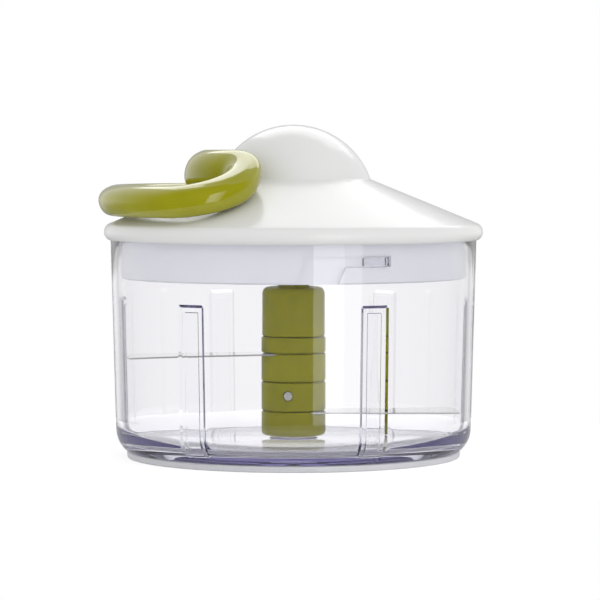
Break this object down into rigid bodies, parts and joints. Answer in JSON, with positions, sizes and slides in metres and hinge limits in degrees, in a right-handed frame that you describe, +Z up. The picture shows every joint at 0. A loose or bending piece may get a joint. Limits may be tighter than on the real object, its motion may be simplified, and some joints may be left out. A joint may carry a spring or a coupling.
{
  "type": "food chopper",
  "caption": "Food chopper with a clear bowl, a bladed hub and a domed locking lid; pulling the loop handle's cord off the sprung reel spins the blades.",
  "frame": {"origin": "middle of the foot ring's underside, on the axis of bowl, hub and lid", "axes": "+Z up along that axis, -Y towards the viewer of the picture, the handle lies over the lid's -X side and is pulled out along -X"},
  "size_m": [0.1458, 0.1436, 0.126],
  "materials": {
    "clear_plastic": "clear, polished, faintly lavender",
    "soft_clear": "satin, milky",
    "white_plastic": "glossy",
    "skirt_plastic": "satin",
    "olive_plastic": "glossy",
    "hub_plastic": "satin",
    "steel": "satin",
    "bush_plastic": "matte",
    "reel_plastic": "matte",
    "cord_fibre": "braided"
  },
  "bodies": {
    "bowl": {"bowl": "clear_plastic", "foot_ring": "soft_clear", "pivot_pin": "steel"},
    "blades": {"hub_base": "hub_plastic", "lower_blade": "steel", "lower_clamp": "hub_plastic", "cross_pin": "steel", "middle_hub": "hub_plastic", "upper_blade": "steel", "upper_clamp": "hub_plastic", "hub_cap": "hub_plastic", "spindle": "steel"},
    "seal": {"seal_ring": "soft_clear"},
    "lid": {"lid_shell": "white_plastic", "lid_base": "skirt_plastic", "lid_screw_1": "steel", "lid_screw_2": "steel", "lid_screw_3": "steel", "shaft_bush": "bush_plastic", "thrust_washer": "steel", "recoil_spring": "steel", "spring_cover": "bush_plastic", "axle_pin": "steel", "cord_guide": "steel", "pull_cord": "cord_fibre"},
    "reel": {"cord_reel": "reel_plastic", "cord_winding": "cord_fibre", "drive_shaft": "hub_plastic"},
    "handle": {"handle": "olive_plastic", "cord_knot": "cord_fibre"}
  },
  "joints": [
    {"name": "lid_lift", "type": "slide", "parent": "bowl", "child": "seal", "axis": [0, 0, 1], "range_m": [0, 0.09]},
    {"name": "lid_twist", "type": "hinge", "parent": "seal", "child": "lid", "pos_m": [0, 0, 0.083], "axis": [0, 0, 1], "range_deg": [0, 17.6]},
    {"name": "handle_pull", "type": "slide", "parent": "lid", "child": "handle", "axis": [-1, 0, 0], "range_m": [0, 0.4], "stiffness_N_per_m": 12, "springref_m": -0.1, "deforming": ["pull_cord"]},
    {"name": "reel_spin", "type": "hinge", "parent": "lid", "child": "reel", "pos_m": [0, 0, 0.1], "axis": [0, 0, 1], "range_deg": [-1310, 0]},
    {"name": "blade_spin", "type": "hinge", "parent": "bowl", "child": "blades", "pos_m": [0, 0, 0.02], "axis": [0, 0, 1], "range_deg": [-1310, 0]}
  ],
  "couplings": [
    {"joint": "reel_spin", "follows": "handle_pull", "rad_per_m": -57.143},
    {"joint": "blade_spin", "follows": "handle_pull", "rad_per_m": -57.143}
  ]
}
